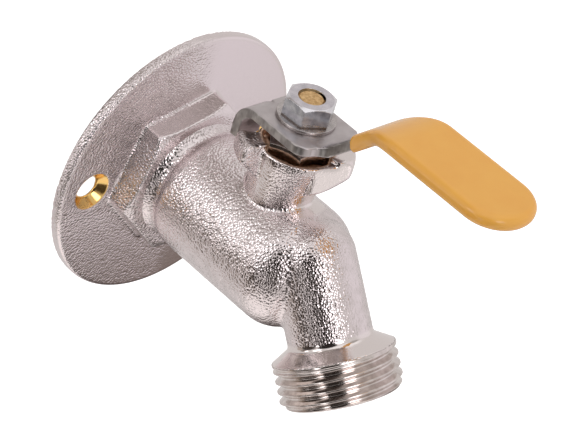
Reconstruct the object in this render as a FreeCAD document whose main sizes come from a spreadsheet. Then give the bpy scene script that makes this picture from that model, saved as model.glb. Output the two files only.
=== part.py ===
# Quarter-turn sillcock: a wall flange, a ball valve body and a lever with a dipped grip.
# Frame: +Z up along the stem, +Y into the wall, origin on the inlet axis at the wall face.
import FreeCAD, Part
import math
import os
import re

import Sketcher

os.makedirs("parts", exist_ok=True)
doc = FreeCAD.newDocument("Sillcock")
sheet = doc.addObject("Spreadsheet::Sheet", "Sizes")

SIZES = [
    # Main lay-out
    ("stem_from_wall", 33.6), ("outlet_tilt", 37.0), ("outlet_forward", 64.3), ("outlet_drop", 18.9),
    # Wall flange, its two screw holes and the hexagon
    ("flange_radius", 32.8), ("flange_thickness", 2.5), ("flange_edge_round", 0.8),
    ("screw_offset", 24.2), ("screw_hole_radius", 2.6), ("screw_sink_radius", 4.6), ("screw_sink_depth", 2.0),
    ("inlet_hex_across", 33.0), ("inlet_hex_length", 6.1), ("inlet_hex_angle", 12.0),
    ("inlet_hex_round", 1.2), ("inlet_hex_bevel", 1.9), ("inlet_hex_bevel_length", 1.1),
    ("inlet_hex_fillet", 0.6),
    # Screwed joint between the flange piece and the body
    ("joint_groove", 0.4), ("joint_neck_radius", 11.2), ("joint_thread_radius", 10.6),
    ("joint_nose_chamfer", 0.8), ("joint_seal_width", 1.4), ("joint_seal_depth", 1.0),
    ("joint_seal_round", 0.4),
    ("pipe_thread_radius", 9.4), ("pipe_thread_length", 9.5), ("pipe_cone_length", 3.0),
    ("waterway_radius", 6.0), ("waterway_bend", 12.0),
    # Ball, its seats and the chamber round it
    ("ball_radius", 9.75), ("ball_port_radius", 5.75), ("ball_slot_width", 4.0), ("ball_slot_floor", 6.8),
    ("seat_clearance", 0.1), ("seat_bore", 6.2), ("seat_back", 8.2), ("seat_thickness", 2.6),
    ("ball_gap", 0.05),
    # Cast body
    ("body_radius", 14.5), ("body_rear_radius", 12.0), ("body_rear_length", 4.3), ("body_rear_round", 3.0),
    ("body_front", 50.3), ("body_front_round", 9.5),
    ("boss_radius", 8.9), ("boss_taper_top", 25.0), ("boss_root_height", 10.0),
    ("boss_root_radius", 6.8), ("boss_root_shift", 1.9), ("boss_foot_fillet", 0.8),
    ("rim_height", 26.7), ("rim_round", 0.4), ("neck_radius", 9.3), ("neck_length", 39.0),
    ("neck_top_round", 8.6), ("neck_fillet", 1.8), ("collar_fillet", 1.2),
    # Stops for the lever
    ("stop_inner", 6.2), ("stop_top", 28.0), ("stop_edge", 4.6), ("stop_rib", 6.1),
    ("stop_low_round", 0.9), ("stop_top_round", 1.7),
    ("left_stop_angle", 153.0), ("left_stop_arc_angle", 33.0), ("left_stop_radius", 13.4),
    ("right_stop_angle", -32.55), ("right_stop_arc_angle", 86.9), ("right_stop_radius", 12.6),
    ("lead_stop_angle", -91.0), ("lead_stop_arc_angle", 32.0), ("lead_stop_radius", 12.6),
    ("stop_flat_angle", -107.0), ("stop_flat_lift", 0.1),
    # Hose thread and outlet
    ("hose_thread_radius", 13.495), ("hose_thread_length", 9.6), ("hose_thread_chamfer", 1.1),
    ("hose_collar_rise", 2.6), ("outlet_bore_radius", 9.0), ("outlet_bore_length", 8.5),
    ("outlet_cone_length", 4.0),
    # Stem and its packing
    ("stem_radius", 4.0), ("stem_gap", 0.08), ("stem_collar_radius", 5.2), ("stem_collar_height", 1.9),
    ("stem_collar_bottom", 10.1), ("tang_gap", 0.1), ("stem_end_radius", 3.0), ("stem_end_flat", 2.6),
    ("stem_end_chamfer", 0.5), ("stem_end_depth", 0.3), ("thrust_thickness", 0.9), ("part_gap", 0.3),
    ("packing_floor", 16.0), ("boss_web", 2.8), ("packing_bore_radius", 5.3), ("packing_play", 0.1),
    ("packing_thickness", 1.4), ("gland_ring_thickness", 0.8),
    # Gland nut
    ("gland_pocket_radius", 7.9), ("gland_pocket_depth", 2.1), ("gland_across", 13.0), ("gland_height", 4.4),
    ("gland_angle", 48.9), ("gland_bevel", 1.2), ("gland_bevel_length", 0.7),
    # Lever plate, neck and stop tab
    ("sheet", 2.2), ("plate_top", 33.6), ("plate_rear", 8.1), ("plate_front", 9.0), ("plate_left", 9.0),
    ("plate_right", 7.3), ("rear_corner", 2.0), ("front_left_round", 3.4), ("neck_left_round", 2.4),
    ("front_right_round", 1.0), ("neck_right_round", 0.9),
    ("neck_shift", 0.5), ("neck_half_width", 4.8), ("waist_half_width", 3.8), ("grip_half_width", 8.1),
    ("waist_reach", 17.0), ("flare_reach", 27.0), ("flare_round", 14.0), ("tip_round", 7.9),
    ("lever_reach", 59.0), ("bend_from_stem", 10.3), ("rise_angle", 47.1), ("grip_lift", 14.9),
    ("low_bend", 3.3), ("high_bend", 12.7), ("stem_hole_gap", 0.1),
    ("tab_width", 6.5), ("tab_reach", 10.2), ("tab_bottom", 26.6), ("tab_bend", 4.2), ("tab_root", 5.0),
    # Grip
    ("grip_coat", 0.65), ("grip_round", 1.6), ("mouth_reach", 16.1), ("mouth_height", 38.6),
    ("mouth_lean", 23.0),
    # Washer and nut on the stem
    ("washer_radius", 6.5), ("washer_bore", 3.2), ("washer_thickness", 0.8),
    ("nut_across", 10.0), ("nut_height", 4.6), ("nut_angle", 32.7), ("nut_bevel", 0.9),
    ("nut_bevel_length", 0.52), ("hex_bevel_share", 0.57),
]

for row, (name, value) in enumerate(SIZES, start=1):
    sheet.set("A%d" % row, name)
    sheet.set("B%d" % row, str(value))
    sheet.setAlias("B%d" % row, name)
doc.recompute()
VALUE = dict(SIZES)
SHARP_ANGLE = math.radians(15)
EDGE_SAMPLES = 7
TOUCH = 0.02
WORD = re.compile(r"[a-z_]+(?!\()\b")
TURN = {"sin": math.sin, "cos": math.cos, "tan": math.tan}


def bound(text):
    """The expression for a sum of named sizes."""
    return WORD.sub(lambda match: "Sizes." + match.group(0), text)


def amount(factor):
    """The value of one name, one plain number or the sine, cosine or tangent of a named angle."""
    if "(" in factor:
        turn, name = factor.rstrip(")").split("(")
        return TURN[turn](math.radians(VALUE[name]))
    return VALUE[factor] if factor in VALUE else float(factor)


def number(text):
    """The value of a sum of named sizes, each term a product or a quotient."""
    total = 0.0
    for sign, term in re.findall(r"([+-]?)\s*([^+-]+)", text):
        value = 1.0
        for operator, factor in re.findall(r"([*/]?)\s*([\w.]+(?:\(\w+\))?)", term):
            value = value / amount(factor) if operator == "/" else value * amount(factor)
        total += -value if sign == "-" else value
    return total


def bind(item, field, text):
    item.setExpression(field, bound(text))


def new_body(label, at_stem=False):
    body = doc.addObject("PartDesign::Body", label.title().replace("_", ""))
    body.Label = label
    if at_stem:
        bind(body, "Placement.Base.y", "-stem_from_wall")
    return body


def sketch_on(body, name, role, shift=("0", "0", "0"), turn=None):
    """A sketch on one origin plane, moved and turned within that plane's own axes."""
    plane = [item for item in body.Origin.OriginFeatures if item.Role == role][0]
    sketch = body.newObject("Sketcher::SketchObject", name)
    sketch.AttachmentSupport = [(plane, "")]
    sketch.MapMode = "FlatFace"
    if turn:
        axis, angle = turn
        sketch.AttachmentOffset = FreeCAD.Placement(
            FreeCAD.Vector(), FreeCAD.Rotation(FreeCAD.Vector(*axis), number(angle)))
        bind(sketch, "AttachmentOffset.Rotation.Angle", angle)
    for field, text in zip("xyz", shift):
        if text != "0":
            bind(sketch, "AttachmentOffset.Base." + field, text)
    return sketch


def fix_point(sketch, geometry, position, corner):
    """Hold a point at two named coordinates, measured from the sketch's origin."""
    for kind, axis, text in (("DistanceX", -2, corner[0]), ("DistanceY", -1, corner[1])):
        if text == "0":
            sketch.addConstraint(Sketcher.Constraint("PointOnObject", geometry, position, axis))
            continue
        index = sketch.addConstraint(Sketcher.Constraint(kind, -1, 1, geometry, position, number(text)))
        bind(sketch, "Constraints[%d]" % index, text)


def outline(sketch, corners, closed=True):
    """Straight sides through named corners; a third entry in a corner rounds it."""
    count = len(corners)
    spots = [FreeCAD.Vector(number(c[0]), number(c[1]), 0) for c in corners]
    starts = list(spots)
    ends = list(spots)
    centres = [None] * count
    for i, corner in enumerate(corners):
        if len(corner) < 3:
            continue
        radius = number(corner[2])
        back = (spots[i - 1] - spots[i]).normalize()
        ahead = (spots[(i + 1) % count] - spots[i]).normalize()
        half = back.getAngle(ahead) / 2
        ends[i] = spots[i] + back * (radius / math.tan(half))
        starts[i] = spots[i] + ahead * (radius / math.tan(half))
        centres[i] = spots[i] + (back + ahead).normalize() * (radius / math.sin(half))
    sides = count if closed else count - 1
    lines = []
    for i in range(sides):
        lines.append(sketch.addGeometry(Part.LineSegment(starts[i], ends[(i + 1) % count])))
    for i, corner in enumerate(corners):
        inner = closed or 0 < i < count - 1
        before = lines[i - 1] if inner else None
        if len(corner) < 3:
            if inner:
                sketch.addConstraint(Sketcher.Constraint("Coincident", before, 2, lines[i], 1))
            if i < sides:
                fix_point(sketch, lines[i], 1, corner)
            else:
                fix_point(sketch, lines[i - 1], 2, corner)
            continue
        left_turn = (spots[i] - spots[i - 1]).cross(spots[(i + 1) % count] - spots[i]).z > 0
        first, last = (ends[i], starts[i]) if left_turn else (starts[i], ends[i])
        begin = math.atan2(first.y - centres[i].y, first.x - centres[i].x)
        finish = math.atan2(last.y - centres[i].y, last.x - centres[i].x)
        circle = Part.Circle(centres[i], FreeCAD.Vector(0, 0, 1), number(corner[2]))
        arc = sketch.addGeometry(Part.ArcOfCircle(circle, begin, finish))
        point = sketch.addGeometry(Part.Point(spots[i]), True)
        fix_point(sketch, point, 1, corner)
        sketch.addConstraint(Sketcher.Constraint("PointOnObject", point, 1, before))
        sketch.addConstraint(Sketcher.Constraint("PointOnObject", point, 1, lines[i]))
        near, far = (1, 2) if left_turn else (2, 1)
        sketch.addConstraint(Sketcher.Constraint("Tangent", before, 2, arc, near))
        sketch.addConstraint(Sketcher.Constraint("Tangent", lines[i], 1, arc, far))
        index = sketch.addConstraint(Sketcher.Constraint("Radius", arc, number(corner[2])))
        bind(sketch, "Constraints[%d]" % index, corner[2])


def hexagon(sketch, across):
    """A regular hexagon round the sketch's origin, one corner on the first axis."""
    radius = number(across) / 2 / math.cos(math.radians(30))
    ring = sketch.addGeometry(Part.Circle(FreeCAD.Vector(), FreeCAD.Vector(0, 0, 1), radius), True)
    sketch.addConstraint(Sketcher.Constraint("Coincident", ring, 3, -1, 1))
    index = sketch.addConstraint(Sketcher.Constraint("Radius", ring, radius))
    sketch.setExpression("Constraints[%d]" % index, bound(across) + " / 2 / cos(30 deg)")
    spots = [FreeCAD.Vector(radius * math.cos(math.radians(60 * i)), radius * math.sin(math.radians(60 * i)), 0)
             for i in range(6)]
    lines = [sketch.addGeometry(Part.LineSegment(spots[i], spots[(i + 1) % 6])) for i in range(6)]
    for i in range(6):
        sketch.addConstraint(Sketcher.Constraint("Coincident", lines[i - 1], 2, lines[i], 1))
        sketch.addConstraint(Sketcher.Constraint("PointOnObject", lines[i], 1, ring))
        if i:
            sketch.addConstraint(Sketcher.Constraint("Equal", lines[0], lines[i]))
    sketch.addConstraint(Sketcher.Constraint("PointOnObject", lines[0], 1, -1))


def circle(sketch, radius, centre=("0", "0")):
    spot = FreeCAD.Vector(number(centre[0]), number(centre[1]), 0)
    ring = sketch.addGeometry(Part.Circle(spot, FreeCAD.Vector(0, 0, 1), number(radius)))
    fix_point(sketch, ring, 3, centre)
    index = sketch.addConstraint(Sketcher.Constraint("Radius", ring, number(radius)))
    bind(sketch, "Constraints[%d]" % index, radius)


def settle(feature, before=None):
    """Recompute, and stop where a feature is broken or a cut takes nothing away."""
    doc.recompute()
    if not feature.Shape.isValid():
        raise RuntimeError(feature.Name + " is not valid")
    if before is not None and feature.Shape.Volume >= before:
        raise RuntimeError(feature.Name + " cuts nothing")


def turned(body, name, sketch, axis, cut=False, span=None):
    """Revolve a profile about a sketch axis, all the way or over a span centred on its plane."""
    before = body.Tip.Shape.Volume if cut else None
    feature = body.newObject("PartDesign::Groove" if cut else "PartDesign::Revolution", name)
    feature.Profile = (sketch, [""])
    feature.ReferenceAxis = (sketch, [axis])
    feature.Angle = 360.0
    if span:
        feature.Midplane = True
        bind(feature, "Angle", span)
    settle(feature, before)


def raised(body, name, sketch, length, cut=False, backwards=False, midplane=False):
    """Pad or pocket a sketch by a named length."""
    before = body.Tip.Shape.Volume if cut else None
    feature = body.newObject("PartDesign::Pocket" if cut else "PartDesign::Pad", name)
    feature.Profile = (sketch, [""])
    feature.Reversed = backwards
    feature.Midplane = midplane
    bind(feature, "Length", length)
    settle(feature, before)


def sharp(shape, edge):
    """True where the two faces along an edge meet at an angle."""
    faces = shape.ancestorsOfType(edge, Part.Face)
    if len(faces) != 2:
        return False
    middle = edge.valueAt((edge.FirstParameter + edge.LastParameter) / 2)
    first, second = [face.normalAt(*face.Surface.parameter(middle)) for face in faces]
    return first.getAngle(second) > SHARP_ANGLE


def rounded(body, name, radius, test):
    """Fillet the body's sharp edges whose inner points all pass the test."""
    base = body.Tip
    names = ["Edge%d" % place for place, edge in enumerate(base.Shape.Edges, start=1)
             if all(map(test, edge.discretize(EDGE_SAMPLES)[1:-1])) and sharp(base.Shape, edge)]
    if not names:
        raise RuntimeError(name + " finds no edge")
    feature = body.newObject("PartDesign::Fillet", name)
    feature.Base = (base, names)
    bind(feature, "Radius", radius)
    settle(feature)


def swept(body, name, profile, path, cut=False):
    """Sweep a profile along a path sketch."""
    before = body.Tip.Shape.Volume if cut else None
    feature = body.newObject("PartDesign::SubtractivePipe" if cut else "PartDesign::AdditivePipe", name)
    feature.Profile = (profile, [""])
    feature.Spine = (path, [])
    settle(feature, before)


# Heights along the stem and places along the inlet axis that several pieces share
HEX_FRONT = "-flange_thickness - inlet_hex_length"
BODY_REAR = HEX_FRONT + " - joint_groove"
NOSE_END = "-stem_from_wall + seat_back"
SHOULDER = "-stem_from_wall - seat_back"
COLLAR_TOP = "stem_collar_bottom + stem_collar_height"
COLLAR_CEILING = "packing_floor - boss_web"
PACKING_TOP = "packing_floor + packing_thickness * 2"
GLAND_FOOT = PACKING_TOP + " + gland_ring_thickness"
GLAND_SEAT = "rim_height - gland_pocket_depth"
GLAND_TOP = GLAND_SEAT + " + gland_height"
PLATE_BOTTOM = "plate_top - sheet"
PLATE_MIDDLE = "plate_top - sheet / 2"
GRIP_MIDDLE = PLATE_MIDDLE + " + grip_lift"
WASHER_TOP = "plate_top + washer_thickness"
NUT_TOP = WASHER_TOP + " + nut_height"
STEM_TOP = NUT_TOP + " - stem_end_depth"
BEND_POINT = "-outlet_forward + outlet_drop * tan(outlet_tilt)"


def inlet_flange():
    """Wall flange, hexagon and the nose that screws into the body."""
    body = new_body("inlet_flange")
    profile = sketch_on(body, "flange_profile", "YZ_Plane")
    outline(profile, [
        ("0", "0"), ("0", "flange_radius"),
        ("-flange_thickness", "flange_radius", "flange_edge_round"),
        ("-flange_thickness", "joint_neck_radius"),
        (BODY_REAR, "joint_neck_radius"), (BODY_REAR, "joint_thread_radius"),
        (NOSE_END + " + joint_nose_chamfer", "joint_thread_radius"),
        (NOSE_END, "joint_thread_radius - joint_nose_chamfer"), (NOSE_END, "0")])
    turned(body, "flange_turned", profile, "H_Axis")
    # the plane's normal points out of the wall, so the hexagon grows along the inlet axis
    flats = sketch_on(body, "hex_flats", "XZ_Plane", turn=((0, 0, 1), "inlet_hex_angle"))
    hexagon(flats, "inlet_hex_across")
    raised(body, "hex_pad", flats, "flange_thickness + inlet_hex_length")
    corner = VALUE["inlet_hex_across"] / math.sqrt(3)
    rounded(body, "hex_corners", "inlet_hex_round", lambda p: math.hypot(p.x, p.z) > corner - TOUCH
            and p.y < TOUCH - VALUE["flange_thickness"] and math.hypot(p.x, p.z) < VALUE["screw_offset"])
    rounded(body, "hex_foot", "inlet_hex_fillet", lambda p: abs(p.y + VALUE["flange_thickness"]) < TOUCH
            and math.hypot(p.x, p.z) < VALUE["screw_offset"])
    bevel = sketch_on(body, "hex_bevel", "YZ_Plane")
    outline(bevel, [
        (HEX_FRONT + " + inlet_hex_bevel_length", "inlet_hex_across * hex_bevel_share"),
        (HEX_FRONT, "inlet_hex_across * hex_bevel_share - inlet_hex_bevel"), (HEX_FRONT, "inlet_hex_across"),
        (HEX_FRONT + " + inlet_hex_bevel_length", "inlet_hex_across")])
    turned(body, "hex_bevelled", bevel, "H_Axis", cut=True)
    bore = sketch_on(body, "inlet_bore", "YZ_Plane")
    outline(bore, [
        ("0", "0"), ("0", "pipe_thread_radius"), ("-pipe_thread_length", "pipe_thread_radius"),
        ("-pipe_thread_length - pipe_cone_length", "waterway_radius"), (NOSE_END, "waterway_radius"),
        (NOSE_END, "0")])
    turned(body, "inlet_bored", bore, "H_Axis", cut=True)
    for side, offset in (("left", "-screw_offset"), ("right", "screw_offset")):
        hole = sketch_on(body, side + "_screw_hole", "XZ_Plane")
        circle(hole, "screw_hole_radius", (offset, "0"))
        raised(body, side + "_screw_drilled", hole, "flange_thickness", cut=True, backwards=True)
        sink = sketch_on(body, side + "_screw_sink", "YZ_Plane", shift=("0", "0", offset))
        outline(sink, [
            ("-flange_thickness", "0"), ("-flange_thickness", "screw_sink_radius"),
            ("-flange_thickness + screw_sink_depth", "screw_hole_radius"),
            ("-flange_thickness + screw_sink_depth", "0")])
        turned(body, side + "_screw_countersunk", sink, "H_Axis", cut=True)
    groove = sketch_on(body, "seal_groove", "YZ_Plane")
    outline(groove, seal_section())
    turned(body, "seal_grooved", groove, "H_Axis", cut=True)
    return body


def seal_section():
    """The seal ring's section, shared by the ring and its groove in the nose."""
    front = NOSE_END + " + joint_seal_width"
    rear = NOSE_END + " + joint_seal_width * 2"
    floor = "joint_thread_radius - joint_seal_depth"
    return [(rear, "joint_thread_radius"), (rear, floor, "joint_seal_round"),
            (front, floor, "joint_seal_round"),
            (front, "joint_thread_radius")]


def outward(body, name):
    """A sketch whose second axis runs up the outlet from the middle of its mouth."""
    return sketch_on(body, name, "YZ_Plane", shift=("-outlet_forward", "-outlet_drop", "0"),
                     turn=((0, 0, 1), "-outlet_tilt"))


def lever_stop(body, side, top="stop_top"):
    """One of the cast stops, a wedge that leans out from the boss."""
    profile = sketch_on(body, side + "_stop_profile", "XZ_Plane", shift=("0", "0", "stem_from_wall"),
                        turn=((0, 1, 0), side + "_stop_angle"))
    tip = side + "_stop_radius"
    outline(profile, [
        ("stop_inner", "stop_top - stop_edge - stop_rib"),
        (tip, "stop_top - stop_edge", "stop_low_round"), (tip, top, "stop_top_round"),
        ("stop_inner", top)])
    turned(body, side + "_stop", profile, "V_Axis", span=side + "_stop_arc_angle")


def valve_body():
    """Cast body: barrel, stem boss with two stops, and the neck down to the hose thread."""
    body = new_body("valve_body")
    # drawn at the side, so that the barrel's seam stays clear of the boss and the neck
    barrel = sketch_on(body, "barrel_profile", "XY_Plane")
    outline(barrel, [
        ("0", BODY_REAR), ("body_rear_radius", BODY_REAR),
        ("body_radius", BODY_REAR + " - body_rear_length", "body_rear_round"),
        ("body_radius", "-body_front", "body_front_round"), ("0", "-body_front")])
    turned(body, "barrel", barrel, "V_Axis")
    neck = outward(body, "neck_profile")
    outline(neck, [
        ("0", "0"), ("hose_thread_radius - hose_thread_chamfer", "0"),
        ("hose_thread_radius", "hose_thread_chamfer"), ("hose_thread_radius", "hose_thread_length"),
        ("neck_radius", "hose_thread_length + hose_collar_rise", "collar_fillet"),
        ("neck_radius", "neck_length", "neck_top_round"), ("0", "neck_length")])
    turned(body, "neck", neck, "V_Axis")
    along = FreeCAD.Vector(0, math.sin(math.radians(VALUE["outlet_tilt"])),
                           math.cos(math.radians(VALUE["outlet_tilt"])))
    mouth = FreeCAD.Vector(0, -VALUE["outlet_forward"], -VALUE["outlet_drop"])
    rounded(body, "neck_foot", "neck_fillet",
            lambda p: (p - mouth).cross(along).Length < VALUE["neck_radius"] + TOUCH
            and (p - mouth).dot(along) > VALUE["hose_thread_length"] + VALUE["hose_collar_rise"] * 2)
    # the boss tapers down to a smaller circle a little nearer the wall
    root = sketch_on(body, "boss_root", "XY_Plane",
                     shift=("0", "-stem_from_wall + boss_root_shift", "boss_root_height"))
    circle(root, "boss_root_radius")
    crown = sketch_on(body, "boss_crown", "XY_Plane", shift=("0", "-stem_from_wall", "boss_taper_top"))
    circle(crown, "boss_radius")
    lofted(body, "boss_taper", root, crown)
    rounded(body, "boss_foot", "boss_foot_fillet",
            lambda p: math.hypot(p.x, p.y + VALUE["stem_from_wall"])
            < VALUE["boss_radius"] + VALUE["boss_root_shift"]
            and VALUE["boss_root_height"] < p.z < VALUE["body_radius"] + TOUCH
            and p.y > -VALUE["stem_from_wall"] - VALUE["boss_radius"])
    boss = sketch_on(body, "boss_rim", "YZ_Plane", shift=("-stem_from_wall", "0", "0"))
    outline(boss, [
        ("0", "boss_taper_top"), ("boss_radius", "boss_taper_top"), ("boss_radius", "rim_height", "rim_round"),
        ("0", "rim_height")])
    turned(body, "boss", boss, "V_Axis")
    lever_stop(body, "left")
    lever_stop(body, "right")
    # the right stop runs out in a flat that leaves the boss at a tangent
    lever_stop(body, "lead", top="rim_height")
    flat = sketch_on(body, "stop_flat", "XY_Plane", shift=("0", "-stem_from_wall", "stop_top"),
                     turn=((0, 0, 1), "stop_flat_angle"))
    rectangle(flat, "boss_radius + stop_flat_lift", "boss_radius * 2", "-boss_radius", "boss_radius * 2")
    raised(body, "stop_flattened", flat, "stop_edge + stop_rib", cut=True)
    chamber = sketch_on(body, "chamber_profile", "YZ_Plane")
    rectangle(chamber, SHOULDER, BODY_REAR, "0", "joint_thread_radius")
    turned(body, "chamber", chamber, "H_Axis", cut=True)
    path = sketch_on(body, "waterway_path", "YZ_Plane")
    outline(path, [("-stem_from_wall", "0"), (BEND_POINT, "0", "waterway_bend"),
                   ("-outlet_forward", "-outlet_drop")], closed=False)
    section = sketch_on(body, "waterway_section", "XZ_Plane", shift=("0", "0", "stem_from_wall"))
    circle(section, "waterway_radius")
    swept(body, "waterway", section, path, cut=True)
    outlet = outward(body, "outlet_profile")
    outline(outlet, [
        ("0", "0"), ("outlet_bore_radius", "0"), ("outlet_bore_radius", "outlet_bore_length"),
        ("waterway_radius", "outlet_bore_length + outlet_cone_length"),
        ("0", "outlet_bore_length + outlet_cone_length")])
    turned(body, "outlet_bored", outlet, "V_Axis", cut=True)
    stem_way = sketch_on(body, "stem_way_profile", "YZ_Plane", shift=("-stem_from_wall", "0", "0"))
    outline(stem_way, [
        ("0", "stop_top"), ("gland_pocket_radius", "stop_top"), ("gland_pocket_radius", GLAND_SEAT),
        ("packing_bore_radius", GLAND_SEAT), ("packing_bore_radius", "packing_floor"),
        ("stem_radius + stem_gap", "packing_floor"), ("stem_radius + stem_gap", COLLAR_CEILING),
        ("stem_collar_radius + part_gap", COLLAR_CEILING), ("stem_collar_radius + part_gap", "0"),
        ("0", "0")])
    turned(body, "stem_way", stem_way, "V_Axis", cut=True)
    return body


def seat(label, side):
    """A ball seat: a ring with a spherical face that meets the ball, on one side of the stem."""
    body = new_body(label, at_stem=True)
    profile = sketch_on(body, label + "_profile", "YZ_Plane")
    back = side + "seat_back"
    front = side + "seat_back" + ("+" if side else "-") + " seat_thickness"
    rectangle(profile, back, front, "seat_bore", "joint_thread_radius - seat_clearance")
    turned(body, label + "_turned", profile, "H_Axis")
    hollow = sketch_on(body, label + "_face", "YZ_Plane")
    half_disc(hollow, "ball_radius + ball_gap")
    turned(body, label + "_faced", hollow, "H_Axis", cut=True)
    return body


def lofted(body, name, first, last):
    """A straight-sided solid between two outlines."""
    feature = body.newObject("PartDesign::AdditiveLoft", name)
    feature.Profile = (first, [""])
    feature.Sections = [last]
    feature.Ruled = True
    settle(feature)


def half_disc(sketch, radius):
    """A half disc above the first axis, centred on the origin."""
    size = number(radius)
    arc = sketch.addGeometry(Part.ArcOfCircle(
        Part.Circle(FreeCAD.Vector(), FreeCAD.Vector(0, 0, 1), size), 0, math.pi))
    line = sketch.addGeometry(Part.LineSegment(FreeCAD.Vector(-size, 0, 0), FreeCAD.Vector(size, 0, 0)))
    sketch.addConstraint(Sketcher.Constraint("Coincident", arc, 3, -1, 1))
    sketch.addConstraint(Sketcher.Constraint("Coincident", arc, 2, line, 1))
    sketch.addConstraint(Sketcher.Constraint("Coincident", arc, 1, line, 2))
    sketch.addConstraint(Sketcher.Constraint("PointOnObject", line, 1, -1))
    index = sketch.addConstraint(Sketcher.Constraint("Radius", arc, size))
    bind(sketch, "Constraints[%d]" % index, radius)


def rectangle(sketch, left, right, bottom, top):
    outline(sketch, [(left, bottom), (right, bottom), (right, top), (left, top)])


def ball():
    """Ball with its port along the inlet axis and the slot for the stem across it."""
    body = new_body("ball", at_stem=True)
    disc = sketch_on(body, "ball_profile", "YZ_Plane")
    half_disc(disc, "ball_radius")
    turned(body, "ball_turned", disc, "H_Axis")
    port = sketch_on(body, "ball_port", "XZ_Plane")
    circle(port, "ball_port_radius")
    raised(body, "ball_bored", port, "ball_radius * 2", cut=True, midplane=True)
    slot = sketch_on(body, "ball_slot", "YZ_Plane")
    rectangle(slot, "-ball_slot_width / 2", "ball_slot_width / 2", "ball_slot_floor", "ball_radius")
    raised(body, "ball_slotted", slot, "ball_radius * 2", cut=True, midplane=True)
    return body


def stem():
    """Stem with a tang for the ball, a thrust collar and a flatted, threaded end."""
    body = new_body("stem", at_stem=True)
    profile = sketch_on(body, "stem_profile", "YZ_Plane")
    outline(profile, [
        ("0", "ball_slot_floor"), ("stem_radius", "ball_slot_floor"), ("stem_radius", "stem_collar_bottom"),
        ("stem_collar_radius", "stem_collar_bottom"), ("stem_collar_radius", COLLAR_TOP),
        ("stem_radius", COLLAR_TOP), ("stem_radius", PLATE_BOTTOM), ("stem_end_radius", PLATE_BOTTOM),
        ("stem_end_radius", STEM_TOP + " - stem_end_chamfer"),
        ("stem_end_radius - stem_end_chamfer", STEM_TOP),
        ("0", STEM_TOP)])
    turned(body, "stem_turned", profile, "V_Axis")
    for side, near, far in (("rear", "ball_slot_width / 2 - tang_gap", "stem_collar_radius"),
                            ("front", "-stem_collar_radius", "-ball_slot_width / 2 + tang_gap")):
        flat = sketch_on(body, side + "_tang_flat", "YZ_Plane")
        rectangle(flat, near, far, "ball_slot_floor", "stem_collar_bottom")
        raised(body, side + "_tang_cut", flat, "stem_collar_radius * 2", cut=True, midplane=True)
    for side, near, far in (("right", "stem_end_flat", "stem_radius"),
                            ("left", "-stem_radius", "-stem_end_flat")):
        flat = sketch_on(body, side + "_end_flat", "XZ_Plane")
        rectangle(flat, near, far, PLATE_BOTTOM, STEM_TOP)
        raised(body, side + "_end_cut", flat, "stem_radius * 2", cut=True, midplane=True)
    return body


def double_flat(sketch, radius, flat):
    """A circle round the sketch's origin with two upright flats."""
    size = number(radius)
    turn = math.acos(number(flat) / size)
    corner = [FreeCAD.Vector(size * math.cos(a), size * math.sin(a), 0)
              for a in (turn, math.pi - turn, math.pi + turn, -turn)]
    ring = Part.Circle(FreeCAD.Vector(), FreeCAD.Vector(0, 0, 1), size)
    upper = sketch.addGeometry(Part.ArcOfCircle(ring, turn, math.pi - turn))
    left = sketch.addGeometry(Part.LineSegment(corner[1], corner[2]))
    lower = sketch.addGeometry(Part.ArcOfCircle(ring, math.pi + turn, 2 * math.pi - turn))
    right = sketch.addGeometry(Part.LineSegment(corner[3], corner[0]))
    for arc in (upper, lower):
        sketch.addConstraint(Sketcher.Constraint("Coincident", arc, 3, -1, 1))
        index = sketch.addConstraint(Sketcher.Constraint("Radius", arc, size))
        bind(sketch, "Constraints[%d]" % index, radius)
    for first, second in ((upper, left), (left, lower), (lower, right), (right, upper)):
        sketch.addConstraint(Sketcher.Constraint("Coincident", first, 2, second, 1))
    for line, side, place in ((right, "", corner[3]), (left, "-", corner[1])):
        sketch.addConstraint(Sketcher.Constraint("Vertical", line))
        index = sketch.addConstraint(Sketcher.Constraint("DistanceX", -1, 1, line, 1, place.x))
        bind(sketch, "Constraints[%d]" % index, side + "(" + flat + ")")


def stem_ring(label, bore, radius, foot, top):
    """A plain ring round the stem."""
    body = new_body(label, at_stem=True)
    profile = sketch_on(body, label + "_profile", "YZ_Plane")
    rectangle(profile, bore, radius, foot, top)
    turned(body, label + "_turned", profile, "V_Axis")
    return body


def seal_ring():
    """The ring that seals the screwed joint."""
    body = new_body("body_seal_ring")
    profile = sketch_on(body, "seal_ring_profile", "YZ_Plane")
    outline(profile, seal_section())
    turned(body, "seal_ring_turned", profile, "H_Axis")
    return body


def hex_nut(label, kind, foot, top):
    """A hexagon round the stem with its upper corners bevelled."""
    body = new_body(label, at_stem=True)
    flats = sketch_on(body, kind + "_flats", "XY_Plane", shift=("0", "0", foot),
                      turn=((0, 0, 1), kind + "_angle"))
    hexagon(flats, kind + "_across")
    raised(body, kind + "_pad", flats, kind + "_height")
    corner = kind + "_across * hex_bevel_share"
    profile = sketch_on(body, kind + "_bevel_profile", "YZ_Plane")
    outline(profile, [
        (corner, top + " - " + kind + "_bevel_length"), (corner + " - " + kind + "_bevel", top),
        (corner + " + " + kind + "_bevel", top),
        (corner + " + " + kind + "_bevel", top + " - " + kind + "_bevel_length")])
    turned(body, kind + "_bevelled", profile, "V_Axis", cut=True)
    return body


def gland_nut():
    """Nut that presses the packing down, screwed into the boss."""
    body = hex_nut("gland_nut", "gland", GLAND_SEAT, GLAND_TOP)
    screw = sketch_on(body, "gland_screw_profile", "YZ_Plane")
    rectangle(screw, "stem_radius + part_gap", "packing_bore_radius", GLAND_FOOT, GLAND_SEAT)
    turned(body, "gland_screw", screw, "V_Axis")
    bore = sketch_on(body, "gland_bore", "YZ_Plane")
    rectangle(bore, "0", "stem_radius + part_gap", GLAND_FOOT, GLAND_TOP)
    turned(body, "gland_bored", bore, "V_Axis", cut=True)
    return body


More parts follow.
